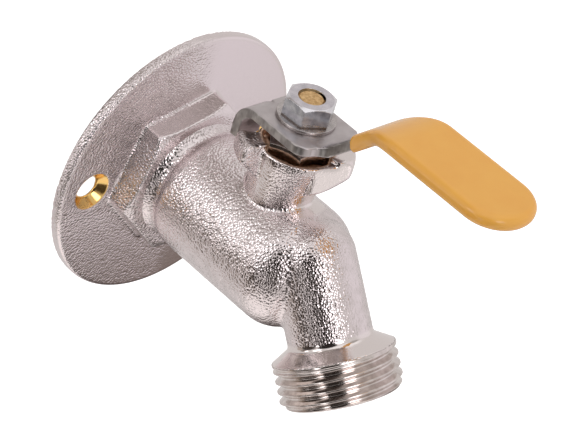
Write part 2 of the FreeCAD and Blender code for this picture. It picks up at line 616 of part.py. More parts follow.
def handle_nut():
    """Nut that clamps the lever and its washer on the stem."""
    body = hex_nut("handle_nut", "nut", WASHER_TOP, NUT_TOP)
    bore = sketch_on(body, "nut_bore", "YZ_Plane")
    rectangle(bore, "0", "stem_end_radius", WASHER_TOP, NUT_TOP)
    turned(body, "nut_bored", bore, "V_Axis", cut=True)
    return body


def lever_side(sign, coat):
    """Corners along one side of the neck and grip seen from above, from the plate to the tip."""
    spread = " " + sign + " grip_coat" if coat else ""
    tip = "-lever_reach" if coat else "-lever_reach + grip_coat"
    return [("neck_shift " + sign + " waist_half_width" + spread, "-waist_reach", "flare_round"),
            ("neck_shift " + sign + " grip_half_width" + spread, "-flare_reach", "flare_round"),
            ("neck_shift " + sign + " grip_half_width" + spread, tip, "tip_round + grip_coat" if coat else "tip_round")]


def bent_sheet(body, coat, corners):
    """Sheet, with a coat or without, bent to the lever's side profile and trimmed to its plan."""
    path = sketch_on(body, body.Label + "_path", "YZ_Plane")
    outline(path, [
        ("plate_rear", PLATE_MIDDLE), ("-bend_from_stem", PLATE_MIDDLE, "low_bend"),
        ("-bend_from_stem - grip_lift / tan(rise_angle)", GRIP_MIDDLE, "high_bend"),
        ("-lever_reach - sheet", GRIP_MIDDLE)], closed=False)
    section = sketch_on(body, body.Label + "_section", "XZ_Plane", shift=("0", "0", "-plate_rear"))
    rectangle(section, "-plate_left * 2", "plate_left * 2", PLATE_BOTTOM + " - " + coat,
              "plate_top + " + coat)
    swept(body, body.Label + "_sheet", section, path)
    plan = sketch_on(body, body.Label + "_plan", "XY_Plane")
    rectangle(plan, "-plate_left * 3", "plate_left * 3", "-lever_reach - plate_left * 2", "plate_left * 3")
    outline(plan, corners)
    raised(body, body.Label + "_trimmed", plan, "plate_top * 4", cut=True, midplane=True)


def lever():
    """Steel lever: plate with a stop tab bent down at its rear corner, neck and the grip's core."""
    body = new_body("lever", at_stem=True)
    notch = "-plate_left + tab_width"
    bent_sheet(body, "0", [
        ("-plate_left", "tab_root"), (notch, "tab_root"), (notch, "plate_rear"),
        ("plate_right", "plate_rear", "rear_corner"), ("plate_right", "-plate_front", "front_right_round"),
        ("neck_shift + neck_half_width", "-plate_front", "neck_right_round")]
        + lever_side("+", False) + lever_side("-", False)[::-1]
        + [("neck_shift - neck_half_width", "-plate_front", "neck_left_round"),
           ("-plate_left", "-plate_front", "front_left_round")])
    path = sketch_on(body, "tab_path", "YZ_Plane")
    outline(path, [("tab_root", PLATE_MIDDLE), ("tab_reach", PLATE_MIDDLE, "tab_bend"),
                   ("tab_reach", "tab_bottom")], closed=False)
    section = sketch_on(body, "tab_section", "XZ_Plane", shift=("0", "0", "-tab_root"))
    rectangle(section, "-plate_left", notch, PLATE_BOTTOM, "plate_top")
    swept(body, "tab", section, path)
    hole = sketch_on(body, "stem_hole", "XY_Plane", shift=("0", "0", PLATE_MIDDLE))
    double_flat(hole, "stem_end_radius + stem_hole_gap", "stem_end_flat + stem_hole_gap")
    raised(body, "stem_holed", hole, "sheet * 2", cut=True, midplane=True)
    return body


def lever_grip(core):
    """Soft coat dipped over the front of the lever."""
    coat = new_body("grip_coat_blank", at_stem=True)
    root = "neck_half_width + grip_coat"
    bent_sheet(coat, "grip_coat", [("neck_shift + " + root, "-plate_front")]
               + lever_side("+", True) + lever_side("-", True)[::-1]
               + [("neck_shift - neck_half_width - grip_coat", "-plate_front")])
    rear = sketch_on(coat, "grip_mouth", "YZ_Plane", shift=("-mouth_reach", "mouth_height", "0"),
                     turn=((0, 0, 1), "-mouth_lean"))
    rectangle(rear, "0", "lever_reach", "-lever_reach", "lever_reach")
    raised(coat, "grip_mouth_cut", rear, "plate_left * 4", cut=True, midplane=True)
    lean = math.radians(VALUE["mouth_lean"])
    ahead = FreeCAD.Vector(0, -math.cos(lean), math.sin(lean))
    mouth = FreeCAD.Vector(0, -VALUE["mouth_reach"], VALUE["mouth_height"])
    rounded(coat, "grip_edges", "grip_round", lambda p: (p - mouth).dot(ahead) > TOUCH)
    grip = doc.addObject("Part::Cut", "LeverGrip")
    grip.Label = "lever_grip"
    grip.Base = coat
    grip.Tool = core
    doc.recompute()
    return grip


steel = lever()
STEM_WAY = "stem_radius + stem_gap"
PACKING_EDGE = "packing_bore_radius - packing_play"
pieces = [
    inlet_flange(), seal_ring(), valve_body(), seat("inlet_seat", ""), seat("outlet_seat", "-"), ball(),
    stem(),
    stem_ring("stem_thrust_washer", "stem_radius", "stem_collar_radius", COLLAR_TOP,
              COLLAR_TOP + " + thrust_thickness"),
    stem_ring("packing_lower", STEM_WAY, PACKING_EDGE, "packing_floor", "packing_floor + packing_thickness"),
    stem_ring("packing_upper", STEM_WAY, PACKING_EDGE, "packing_floor + packing_thickness", PACKING_TOP),
    stem_ring("gland_ring", "stem_radius + part_gap", PACKING_EDGE, PACKING_TOP, GLAND_FOOT),
    gland_nut(), steel, lever_grip(steel),
    stem_ring("handle_washer", "washer_bore", "washer_radius", "plate_top", WASHER_TOP),
    handle_nut(),
]
doc.recompute()
for item in doc.Objects:
    if "Invalid" in item.State or "Error" in item.State:
        raise RuntimeError("not built: " + item.Label)
for piece in pieces:
    if piece.Shape.isNull() or not piece.Shape.isValid() or len(piece.Shape.Solids) != 1:
        raise RuntimeError("bad shape: " + piece.Label)
for piece in pieces:
    piece.Shape.exportStep("parts/%s.step" % piece.Label)
    box = piece.Shape.optimalBoundingBox(False)
    print("%-20s %9.1f mm3  %s" % (piece.Label, piece.Shape.Volume, box))
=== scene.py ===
import math

import bpy
import numpy as np
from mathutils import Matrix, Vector


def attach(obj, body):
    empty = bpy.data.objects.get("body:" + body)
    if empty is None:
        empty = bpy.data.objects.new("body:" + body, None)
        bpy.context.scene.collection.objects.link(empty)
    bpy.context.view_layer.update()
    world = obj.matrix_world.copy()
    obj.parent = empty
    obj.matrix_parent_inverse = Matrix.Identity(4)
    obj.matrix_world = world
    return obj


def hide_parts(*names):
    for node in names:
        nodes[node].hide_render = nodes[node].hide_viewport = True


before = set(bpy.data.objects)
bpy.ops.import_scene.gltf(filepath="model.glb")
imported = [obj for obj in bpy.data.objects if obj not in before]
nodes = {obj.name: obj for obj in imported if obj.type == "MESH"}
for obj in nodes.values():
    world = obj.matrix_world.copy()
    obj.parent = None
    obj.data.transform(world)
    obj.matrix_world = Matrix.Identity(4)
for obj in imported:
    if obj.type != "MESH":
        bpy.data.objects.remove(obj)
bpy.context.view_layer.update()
MM = 0.001

# Sizes and places shared with the solids, in millimetres and degrees
STEM_Y = -33.6
PLATE_FRONT = -2.5
SCREW_OFFSET = 24.2
SINK_RADIUS = 4.6
REAR_FACE = -9.0
REAR_RADIUS = 12.0
BOSS_RADIUS = 8.9
POCKET_RADIUS = 7.9
POCKET_FLOOR = 24.6
LEVER_REAR = 8.1
TAB_BOTTOM = 26.6
NUT_FOOT = 34.4
MOUTH = np.array((0.0, -64.3, -18.9))
TILT = math.radians(37.0)
THREAD_RADIUS = 13.495
THREAD_LENGTH = 9.6
THREAD_CHAMFER = 1.1
COLLAR_LENGTH = 3.6
BORE_RADIUS = 9.0
BORE_LENGTH = 8.5

# The hose thread's form, first crest measured from the mouth
THREAD_PITCH = 25.4 / 11.5
THREAD_DEPTH = 1.38
THREAD_FLANK = math.radians(30.0)
FIRST_CREST = -0.59
CREST_FLAT = 0.14

# How far the stop tab is drawn down past the solid's
TAB_DROP = 1.8

# The outlet's own axes: out of the mouth, to the right and up
OUT = np.array((0.0, -math.sin(TILT), -math.cos(TILT)))
ACROSS = np.array((1.0, 0.0, 0.0))
UPWARD = np.cross(OUT, ACROSS)


# Meshes
def show(name, mesh, body, replaced=None):
    """Put a mesh, drawn in metres in the row frame, on one of the moving bodies."""
    piece = bpy.data.objects.new(name, mesh)
    bpy.context.scene.collection.objects.link(piece)
    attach(piece, body)
    if replaced:
        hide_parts(replaced)


def reworked(node, steps):
    """A node's mesh after some modifiers, each a kind and its settings, drawn in the row frame."""
    source = nodes[node]
    draft = bpy.data.objects.new("draft", source.data.copy())
    draft.data.shade_smooth()
    bpy.context.scene.collection.objects.link(draft)
    draft.matrix_world = source.matrix_world
    for kind, settings in steps:
        modifier = draft.modifiers.new(kind, kind)
        for setting, value in settings.items():
            setattr(modifier, setting, value)
    bpy.context.view_layer.update()
    mesh = bpy.data.meshes.new_from_object(draft.evaluated_get(bpy.context.evaluated_depsgraph_get()))
    mesh.transform(draft.matrix_world)
    bpy.data.objects.remove(draft)
    return mesh


def eased(node, voxel, passes):
    """An even mesh of a node's solid, in which its sharp edges are eased."""
    mesh = reworked(node, (
        ("REMESH", {"mode": "VOXEL", "voxel_size": voxel * MM}),
        ("SMOOTH", {"iterations": passes})))
    mesh.shade_smooth()
    return mesh


def crisp(node, bevel):
    """A node's solid with whole flat faces and narrow bevels along its edges."""
    same_point = 0.002
    same_plane = math.radians(1.0)
    sharp = math.radians(24.0)
    return reworked(node, (
        ("WELD", {"merge_threshold": same_point * MM}),
        ("DECIMATE", {"decimate_type": "DISSOLVE", "angle_limit": same_plane}),
        ("BEVEL", {"width": bevel * MM, "segments": 3, "limit_method": "ANGLE",
                   "angle_limit": sharp, "harden_normals": True}),
        ("WEIGHTED_NORMAL", {"keep_sharp": True})))


def read_points(mesh):
    """A mesh's points in millimetres, one row each."""
    points = np.empty(len(mesh.vertices) * 3)
    mesh.vertices.foreach_get("co", points)
    return points.reshape(-1, 3) / MM


def write_points(mesh, points):
    mesh.vertices.foreach_set("co", (points * MM).ravel())
    mesh.update()


def noted(mesh, name, values):
    """Keep one number for each of a mesh's points, for its material to read."""
    mesh.attributes.new(name, "FLOAT", "POINT").data.foreach_set("value", values)


def between(values, start, end):
    """0 before the start, 1 past the end and an even ramp in between."""
    return np.clip((values - start) / (end - start), 0.0, 1.0)


def from_stem(points):
    """Each point's distance from the stem's axis."""
    return np.hypot(points[:, 0], points[:, 1] - STEM_Y)


def toward(points, angle):
    """How far points lie to one side of the stem, 1 straight that way, by the angle about it."""
    turn = math.radians(angle)
    reach = points[:, 0] * math.cos(turn) + (points[:, 1] - STEM_Y) * math.sin(turn)
    return reach / np.maximum(from_stem(points), 0.1)


def waves(points, size, seed):
    """A smooth random field between about -1 and 1: plane waves of one size in random directions."""
    count = 24
    chance = np.random.default_rng(seed)
    ways = chance.normal(size=(count, 3))
    ways /= np.linalg.norm(ways, axis=1)[:, None]
    ways *= 2 * math.pi / size * chance.uniform(0.75, 1.3, (count, 1))
    phases = chance.uniform(0, 2 * math.pi, count)
    return np.sin(points @ ways.T + phases).sum(axis=1) / math.sqrt(count)


def softened(mesh, share, passes):
    """Even out a mesh's points, each by its own share of the way to its neighbours."""
    points = read_points(mesh)
    ends = np.empty(len(mesh.edges) * 2, dtype=int)
    mesh.edges.foreach_get("vertices", ends)
    one, other = ends.reshape(-1, 2).T
    near = np.bincount(ends, minlength=len(points))[:, None]
    for _ in range(passes):
        total = np.stack([np.bincount(one, points[other, axis], len(points))
                          + np.bincount(other, points[one, axis], len(points)) for axis in range(3)], axis=1)
        points += share[:, None] * (total / near - points)
    write_points(mesh, points)


def cast_skin(mesh, depth, seed, sandy):
    """Lower a casting's skin by the unevenness that the sand mould leaves, where it is sandy."""
    sizes_and_shares = ((5.0, 0.5), (1.6, 0.35), (0.9, 0.25))
    points = read_points(mesh)
    noted(mesh, "sandy", sandy)
    normals = np.empty(len(points) * 3)
    mesh.vertices.foreach_get("normal", normals)
    swell = sum(waves(points, size, seed + i) * share for i, (size, share) in enumerate(sizes_and_shares))
    lowering = depth * sandy * np.clip(0.5 + swell * 0.5, 0.0, 1.0)
    write_points(mesh, points - normals.reshape(-1, 3) * lowering[:, None])


# Hose thread
def thread_radius(along, turn):
    """The hose thread's outer radius at a depth along the outlet, 0 at the mouth, and a turn about it."""
    root_dip, root_width = 0.12, 0.25
    runout_start, runout_length = 0.35, 0.9
    phase = (along - FIRST_CREST) / THREAD_PITCH - turn / (2 * math.pi)
    off_crest = np.abs(phase - np.round(phase)) * THREAD_PITCH
    groove = np.clip((off_crest - CREST_FLAT) / math.tan(THREAD_FLANK), 0.0, THREAD_DEPTH)
    groove -= root_dip * np.exp(-((groove - THREAD_DEPTH) / root_width) ** 2)
    runout = np.clip((along + THREAD_LENGTH - runout_start) / runout_length, 0.0, 1.0)
    return np.minimum(THREAD_RADIUS - groove * runout, THREAD_RADIUS - THREAD_CHAMFER - along)


def hose_thread():
    """The cut end of the outlet: thread, chamfer, face and bore, turned in one go."""
    steps, rows = 240, 150
    skin, lip, lip_middle, face_round = 0.02, 0.35, 0.1, 0.15
    bore = BORE_RADIUS - skin
    hidden = BORE_RADIUS + 1.0
    turns = np.linspace(0, 2 * math.pi, steps, endpoint=False)
    profile = [(hidden, -THREAD_LENGTH)]
    profile += [(thread_radius(along, turns), along) for along in np.linspace(-THREAD_LENGTH, 0.0, rows)]
    profile += [(THREAD_RADIUS - THREAD_CHAMFER - face_round, 0.0), (bore + lip, 0.0),
                (bore + lip_middle, -lip_middle), (bore, -lip), (bore, -BORE_LENGTH), (hidden, -BORE_LENGTH)]
    side = np.cos(turns)[:, None] * ACROSS + np.sin(turns)[:, None] * UPWARD
    rings = [MOUTH + side * np.broadcast_to(radius, steps)[:, None] + along * OUT
             for radius, along in profile]
    faces = []
    for row in range(len(rings)):
        after = (row + 1) % len(rings)
        for i in range(steps):
            j = (i + 1) % steps
            faces.append((row * steps + i, row * steps + j, after * steps + j, after * steps + i))
    mesh = bpy.data.meshes.new("hose_thread")
    mesh.from_pydata((np.concatenate(rings) * MM).tolist(), [], faces)
    mesh.shade_smooth()
    return mesh


# Valve body
def soften_stops(mesh):
    """Round off the two stops on the boss, the left one more than the right one."""
    foot, top = 20.0, 22.0
    points = read_points(mesh)
    stops = between(points[:, 2], foot, top) * between(from_stem(points), BOSS_RADIUS, BOSS_RADIUS + 1.0)
    softened(mesh, stops * np.where(points[:, 0] < 0, 0.8, 0.4), passes=14)


def flare_rear(mesh):
    """Spread the barrel's rear end in a cove that closes the view between it and the hexagon."""
    length, spread, reach_back = 2.8, 2.9, 0.9
    points = read_points(mesh)
    from_axis = np.hypot(points[:, 0], points[:, 2])
    skin = between(from_axis, REAR_RADIUS - 1.2, REAR_RADIUS - 0.4)
    cove = (skin * between(points[:, 1], REAR_FACE - length, REAR_FACE)) ** 2
    flare = 1.0 + spread * cove / np.maximum(from_axis, 1.0)
    points[:, 0] *= flare
    points[:, 2] *= flare
    points[:, 1] += reach_back * cove
    write_points(mesh, points)


def sandy_share(points):
    """1 where the body's skin is sandy, less on two sides of the boss and 0 on the turned end."""
    boss_foot, right_stop_foot = 12.0, 19.0
    right_angle, left_angle = -72.0, 160.0
    height = points[:, 2]
    collar = -THREAD_LENGTH - COLLAR_LENGTH
    turned = between((points - MOUTH) @ OUT, collar - 0.4, collar) * (height < 0)
    boss = between(height, boss_foot, boss_foot + 1.5)
    boss *= 1.0 - between(from_stem(points), BOSS_RADIUS, BOSS_RADIUS + 0.5)
    boss_and_stop = np.maximum(boss, between(height, right_stop_foot, right_stop_foot + 1.0))
    right = between(toward(points, right_angle), 0.6, 0.92) * boss_and_stop
    left = 0.7 * between(toward(points, left_angle), 0.7, 0.95) * boss
    return (1.0 - turned) * (1.0 - 0.85 * np.maximum(right, left))


def pocket_share(points):
    """1 in the pocket round the gland, 0 on the rest of the body."""
    edge = POCKET_RADIUS + 0.45
    high = between(points[:, 2], POCKET_FLOOR - 0.6, POCKET_FLOOR)
    return high * (1.0 - between(from_stem(points), edge, edge + 0.3))


def tuck_end(mesh):
    """Draw the outlet's end in behind the thread that is cut on it."""
    inset, groove = 0.5, 1.4
    wall_middle = (BORE_RADIUS + THREAD_RADIUS - groove) / 2
    points = read_points(mesh)
    reach = points - MOUTH
    along = reach @ OUT
    side = reach - along[:, None] * OUT
    radius = np.linalg.norm(side, axis=1)
    under = (along > -THREAD_LENGTH + 0.1) & (radius < THREAD_RADIUS + 1.0) & (points[:, 2] < 0)
    shrunk = np.clip(radius, BORE_RADIUS + 0.2, wall_middle + 0.4)
    moved = MOUTH + side * (shrunk / radius)[:, None] + np.minimum(along, -inset)[:, None] * OUT
    points[under] = moved[under]
    write_points(mesh, points)


def body_casting():
    """The valve body's casting with its sandy skin, drawn back under the hose thread."""
    mesh = eased("valve_body", voxel=0.3, passes=3)
    soften_stops(mesh)
    flare_rear(mesh)
    points = read_points(mesh)
    pocket = pocket_share(points)
    cast_skin(mesh, depth=0.06, seed=11, sandy=sandy_share(points) * (1.0 - pocket))
    noted(mesh, "pocket", pocket)
    tuck_end(mesh)
    return mesh


# Wall flange and lever
def flange_casting():
    """The wall flange with its hexagon, cast in one, its skin sandier in some places than in others."""
    mesh = eased("inlet_flange", voxel=0.3, passes=5)
    points = read_points(mesh)
    x, y, z = points.T
    on_plate = between(y, PLATE_FRONT - 1.5, PLATE_FRONT - 0.7)
    right = on_plate * between(x, -6.0, 6.0)
    low = 0.62 * on_plate * between(-z, 2.0, 12.0)
    hexagon_top = 0.65 * (1.0 - on_plate) * between(z, 11.0, 13.0)
    back = between(y, -0.5, -0.2)
    smooth = np.maximum.reduce((right, low, hexagon_top, back))
    from_hole = np.hypot(np.abs(x) - SCREW_OFFSET, z)
    outside_sinks = between(from_hole, SINK_RADIUS - 0.2, SINK_RADIUS + 0.2)
    cast_skin(mesh, depth=0.03, seed=23, sandy=(1.0 - smooth) * outside_sinks)
    return mesh


def lever_sheet():
    """The bent sheet, its stop tab drawn down far enough to close the view past it."""
    mesh = eased("lever", voxel=0.18, passes=5)
    points = read_points(mesh)
    behind = between(points[:, 1] - STEM_Y, LEVER_REAR + 0.1, LEVER_REAR + 0.6)
    low = 1.0 - between(points[:, 2], TAB_BOTTOM + 0.1, TAB_BOTTOM + 1.0)
    points[:, 2] -= TAB_DROP * behind * low
    write_points(mesh, points)
    return mesh


# Shader nodes
def plug(tree, value, socket):
    """Feed a socket from another node's output or with a plain value."""
    if hasattr(value, "links"):
        tree.links.new(value, socket)
    elif hasattr(value, "__len__") and len(socket.default_value) == 4:
        socket.default_value = (*value, 1.0)
    else:
        socket.default_value = value


def calculate(tree, operation, *values):
    node = tree.nodes.new("ShaderNodeMath")
    node.operation = operation
    for value, socket in zip(values, node.inputs):
        plug(tree, value, socket)
    return node.outputs["Value"]


def calculate_vector(tree, operation, *vectors):
    node = tree.nodes.new("ShaderNodeVectorMath")
    node.operation = operation
    for vector, socket in zip(vectors, node.inputs):
        plug(tree, vector, socket)
    return node.outputs["Value" if operation == "DOT_PRODUCT" else "Vector"]


def mapped(tree, value, low, high, start=0.0, end=1.0, kind="LINEAR"):
    """Carry a value from start..end over to low..high."""
    node = tree.nodes.new("ShaderNodeMapRange")
    node.interpolation_type = kind
    plug(tree, value, node.inputs["Value"])
    for socket, amount in (("From Min", start), ("From Max", end), ("To Min", low), ("To Max", high)):
        node.inputs[socket].default_value = amount
    return node.outputs["Result"]


def mixed(tree, factor, first, second):
    """Two colours in one, the first where the factor is 0 and the second where it is 1."""
    node = tree.nodes.new("ShaderNodeMix")
    node.data_type = "RGBA"
    plug(tree, factor, node.inputs["Factor"])
    colours = [socket for socket in node.inputs if socket.type == "RGBA"]
    plug(tree, first, colours[0])
    plug(tree, second, colours[1])
    return [socket for socket in node.outputs if socket.type == "RGBA"][0]


def placed(tree, stretch=(1.0, 1.0, 1.0)):
    """The point on the piece, in millimetres of the row frame."""
    where = tree.nodes.new("ShaderNodeTexCoord")
    mapping = tree.nodes.new("ShaderNodeMapping")
    mapping.inputs["Scale"].default_value = [amount / MM for amount in stretch]
    plug(tree, where.outputs["Object"], mapping.inputs["Vector"])
    return mapping.outputs["Vector"]


def facing(tree):
    """The way that the piece's surface faces."""
    return tree.nodes.new("ShaderNodeTexCoord").outputs["Normal"]


def axes(tree, vector):
    node = tree.nodes.new("ShaderNodeSeparateXYZ")
    plug(tree, vector, node.inputs["Vector"])
    return node.outputs["X"], node.outputs["Y"], node.outputs["Z"]


def noted_value(tree, name):
    """The number that a mesh keeps for each of its points under this name."""
    node = tree.nodes.new("ShaderNodeAttribute")
    node.attribute_name = name
    return node.outputs["Fac"]


def grain(tree, vector, size, detail=3.0):
    """Noise whose lumps are about this many millimetres across."""
    node = tree.nodes.new("ShaderNodeTexNoise")
    plug(tree, vector, node.inputs["Vector"])
    node.inputs["Scale"].default_value = 1.0 / size
    node.inputs["Detail"].default_value = detail
    node.inputs["Roughness"].default_value = 0.55
    return node.outputs["Fac"]


def domes(tree, vector, pitch):
    """Rounded lumps side by side, about this many millimetres apart."""
    node = tree.nodes.new("ShaderNodeTexVoronoi")
    plug(tree, vector, node.inputs["Vector"])
    node.inputs["Scale"].default_value = 1.0 / pitch
    return calculate(tree, "SUBTRACT", 1.0, calculate(tree, "POWER", node.outputs["Distance"], 2.0))


def bumped(tree, height, depth, under=None, share=1.0):
    """Relief whose full height is this many millimetres, or only a share of it."""
    node = tree.nodes.new("ShaderNodeBump")
    node.inputs["Distance"].default_value = depth * MM
    plug(tree, height, node.inputs["Height"])
    plug(tree, share, node.inputs["Strength"])
    if under is not None:
        plug(tree, under, node.inputs["Normal"])
    return node.outputs["Normal"]


# Parts of materials: each gives a function that feeds one of the shader's sockets in a node tree
def clouded(light, dark, size):
    """Two tones that drift into each other in clouds of about this many millimetres."""
    def colour(tree):
        drift = mapped(tree, grain(tree, placed(tree), size), 0.0, 1.0, start=0.35, end=0.65)
        return mixed(tree, drift, dark, light)
    return colour


def patchy(low, high, size):
    """Roughness that drifts between two values in patches of about this many millimetres."""
    return lambda tree: mapped(tree, grain(tree, placed(tree), size), low, high, start=0.3, end=0.7)


def grained(size, depth, detail=3.0):
    """Fine relief, its lumps' width and its height in millimetres."""
    return lambda tree: bumped(tree, grain(tree, placed(tree), size, detail), depth)


def sand(pitch, depth, swell):
    """The skin that moulding sand leaves: lumps side by side on gentle swells, with fine grains on them."""
    swell_size, grain_size, grain_share = 1.8, 0.3, 0.3

    def relief(tree):
        where = placed(tree)
        sandy = noted_value(tree, "sandy")
        swells = bumped(tree, grain(tree, where, swell_size, 1.0), depth * swell, share=sandy)
        lumps = bumped(tree, domes(tree, where, pitch), depth, swells, sandy)
        return bumped(tree, grain(tree, where, grain_size, 1.0), depth * grain_share, lumps, sandy)
    return relief


def material(name, colour, roughness, relief, metallic=1.0):
    """A material from functions of its node tree, each giving one socket's value."""
    made = bpy.data.materials.new(name)
    made.use_nodes = True
    tree = made.node_tree
    shader = tree.nodes["Principled BSDF"]
    plug(tree, colour(tree), shader.inputs["Base Color"])
    plug(tree, roughness(tree), shader.inputs["Roughness"])
    plug(tree, relief(tree), shader.inputs["Normal"])
    shader.inputs["Metallic"].default_value = metallic
    return made


# Materials
NICKEL = (0.80, 0.73, 0.73)
NICKEL_DULL = (0.70, 0.64, 0.63)
NICKEL_BRIGHT = (0.83, 0.77, 0.75)
BARE_BRASS = (0.85, 0.56, 0.20)
BRONZE = (0.88, 0.62, 0.47)
BRONZE_DARK = (0.50, 0.32, 0.21)


def casting_colour(tree):
    """Nickel plate, a little duller in places where the skin is sandy."""
    dull = mapped(tree, grain(tree, placed(tree), 2.5), 1.0, 0.0, start=0.25, end=0.6)
    return mixed(tree, calculate(tree, "MULTIPLY", dull, noted_value(tree, "sandy")), NICKEL, NICKEL_DULL)


def body_colour(tree):
    """The casting's plate, brighter where it is smooth and browned in the pocket round the gland."""
    plated = mixed(tree, noted_value(tree, "sandy"), NICKEL_BRIGHT, casting_colour(tree))
    return mixed(tree, noted_value(tree, "pocket"), plated, clouded(BRONZE, BRONZE_DARK, 1.1)(tree))


def body_roughness(tree):
    """Patchy shine, and duller in the pocket."""
    rise = calculate(tree, "MULTIPLY", noted_value(tree, "pocket"), 0.22)
    return calculate(tree, "ADD", patchy(0.09, 0.17, 0.8)(tree), rise)


def nickel_casting():
    return material("nickel_casting", body_colour, body_roughness, sand(pitch=0.58, depth=0.12, swell=0.3))


def flange_colour(tree):
    """The casting's plate, cut through to bare brass in the screws' countersinks on the front."""
    blur = 0.15
    x, y, z = axes(tree, placed(tree))
    across = calculate(tree, "SUBTRACT", calculate(tree, "ABSOLUTE", x), SCREW_OFFSET)
    squares = [calculate(tree, "POWER", side, 2.0) for side in (across, z)]
    reach = calculate(tree, "SQRT", calculate(tree, "ADD", *squares))
    on_back = mapped(tree, y, 0.0, 1.0, start=-0.3, end=-0.15)
    outside = mapped(tree, reach, 0.0, 1.0, start=SINK_RADIUS - blur, end=SINK_RADIUS + blur)
    plated = calculate(tree, "MAXIMUM", on_back, outside)
    return mixed(tree, plated, BARE_BRASS, casting_colour(tree))


def nickel_flange():
    return material("nickel_flange", flange_colour, patchy(0.12, 0.20, 0.8),
                    sand(pitch=0.54, depth=0.17, swell=0.1))


def cut_nickel():
    return material("cut_nickel", clouded((0.78, 0.72, 0.69), (0.62, 0.56, 0.53), 2.0),
                    patchy(0.07, 0.16, 0.8), grained(0.12, 0.004))


def sheet_colour(tree):
    """Zinc-plated sheet with darker, streaked cut edges, told from its faces by the way they look."""
    x, _, _ = axes(tree, facing(tree))
    cut = mapped(tree, calculate(tree, "ABSOLUTE", x), 0.0, 1.0, start=0.5, end=0.8)
    upright = placed(tree, stretch=(1.0, 1.0, 0.5))
    streaks = mapped(tree, grain(tree, upright, 1.4, 2.0), 0.0, 1.0, start=0.36, end=0.68)
    face = clouded((0.58, 0.54, 0.54), (0.50, 0.46, 0.46), 3.0)(tree)
    edge = mixed(tree, streaks, (0.32, 0.30, 0.29), (0.56, 0.54, 0.52))
    return mixed(tree, cut, face, edge)


def zinc_sheet():
    return material("zinc_sheet", sheet_colour, patchy(0.28, 0.42, 0.9), grained(0.3, 0.012))


def nut_colour_with_painted_light(tree):
    """Zinc plate in clouded tones with painted light: the top painted lighter than the flats, a painted
    highlight on its turned chamfer, and painted shade at the foot.
    """
    _, _, upward = axes(tree, facing(tree))
    _, _, height = axes(tree, placed(tree))
    # Painted shade: the foot of the nut darkened where it sits on the washer
    foot_shade = mapped(tree, height, 1.0, 0.0, start=NUT_FOOT + 0.2, end=NUT_FOOT + 0.5)
    # Painted highlight: the turned chamfer gets a near-white tone
    chamfer_highlight = mapped(tree, upward, 1.0, 0.0, start=0.93, end=0.985)
    # Painted light: faces turned upwards get a lighter tone than the flats
    lit_top_share = mapped(tree, upward, 0.0, 1.0, start=0.15, end=0.3)
    flats = clouded((0.66, 0.68, 0.72), (0.42, 0.44, 0.48), 1.6)(tree)
    flats = mixed(tree, foot_shade, flats, (0.22, 0.19, 0.18))
    top = clouded((0.74, 0.71, 0.75), (0.58, 0.56, 0.60), 2.0)(tree)
    top = mixed(tree, chamfer_highlight, top, (0.80, 0.79, 0.82))
    return mixed(tree, lit_top_share, flats, top)


def zinc():
    return material("zinc", nut_colour_with_painted_light, patchy(0.14, 0.22, 1.2), grained(0.5, 0.004))


def worn_zinc():
    return material("worn_zinc", clouded((0.60, 0.56, 0.55), (0.46, 0.43, 0.42), 1.5),
                    patchy(0.22, 0.34, 1.0), grained(0.4, 0.006))


def dark_nickel():
    return material("dark_nickel", clouded((0.64, 0.59, 0.56), (0.36, 0.31, 0.28), 1.5),
                    patchy(0.08, 0.16, 1.0), grained(0.6, 0.006))


def bare_brass():
    return material("bare_brass", clouded((0.86, 0.60, 0.30), (0.56, 0.34, 0.14), 0.7),
                    patchy(0.26, 0.45, 0.5), grained(0.35, 0.03))


def polished_ball():
    return material("polished_ball", clouded((0.85, 0.85, 0.86), (0.76, 0.76, 0.78), 3.0),
                    patchy(0.05, 0.1, 1.0), grained(0.4, 0.001))


def ptfe():
    return material("ptfe", clouded((0.93, 0.93, 0.91), (0.86, 0.86, 0.83), 1.0),
                    patchy(0.4, 0.6, 0.6), grained(0.5, 0.02), metallic=0.0)


def seal_rubber():
    return material("seal_rubber", clouded((0.05, 0.05, 0.05), (0.03, 0.03, 0.03), 0.8),
                    patchy(0.5, 0.7, 0.5), grained(0.4, 0.02), metallic=0.0)


def yellow_vinyl():
    return material("yellow_vinyl", clouded((1.0, 0.52, 0.10), (0.98, 0.49, 0.092), 7.0),
                    patchy(0.10, 0.15, 6.0), grained(2.5, 0.03, detail=1.0), metallic=0.0)


WORN_BY = {
    nickel_casting: ("body_casting", "valve_body"),
    nickel_flange: ("flange_casting", "inlet_flange"),
    cut_nickel: ("hose_thread",),
    zinc_sheet: ("lever_sheet", "lever"),
    zinc: ("nut_on_stem", "handle_nut"),
    worn_zinc: ("washer_on_stem", "handle_washer"),
    dark_nickel: ("gland_hexagon", "gland_nut"),
    bare_brass: ("stem", "gland_ring"),
    polished_ball: ("ball",),
    ptfe: ("inlet_seat", "outlet_seat", "packing_lower", "packing_upper", "stem_thrust_washer"),
    seal_rubber: ("body_seal_ring",),
    yellow_vinyl: ("grip_coat", "lever_grip"),
}


def dress():
    """Give every shown piece and every node its material."""
    for make, names in WORN_BY.items():
        surface = make()
        for name in names:
            piece = nodes[name] if name in nodes else bpy.data.objects[name]
            piece.data.materials.clear()
            piece.data.materials.append(surface)


# Camera
def stand_camera():
    """The photograph's camera: its place is in metres, its turn a quaternion."""
    data = bpy.data.cameras.new("camera")
    data.sensor_width = 36.0
    data.lens = 183.704
    data.clip_start = 0.05
    data.clip_end = 20.0
    camera = bpy.data.objects.new("camera", data)
    camera.location = (-0.4126582, -0.3552354, 0.3728877)
    camera.rotation_mode = "QUATERNION"
    camera.rotation_quaternion = (0.8437151, 0.3807882, -0.2624333, -0.2725325)
    bpy.context.scene.collection.objects.link(camera)
    bpy.context.scene.camera = camera


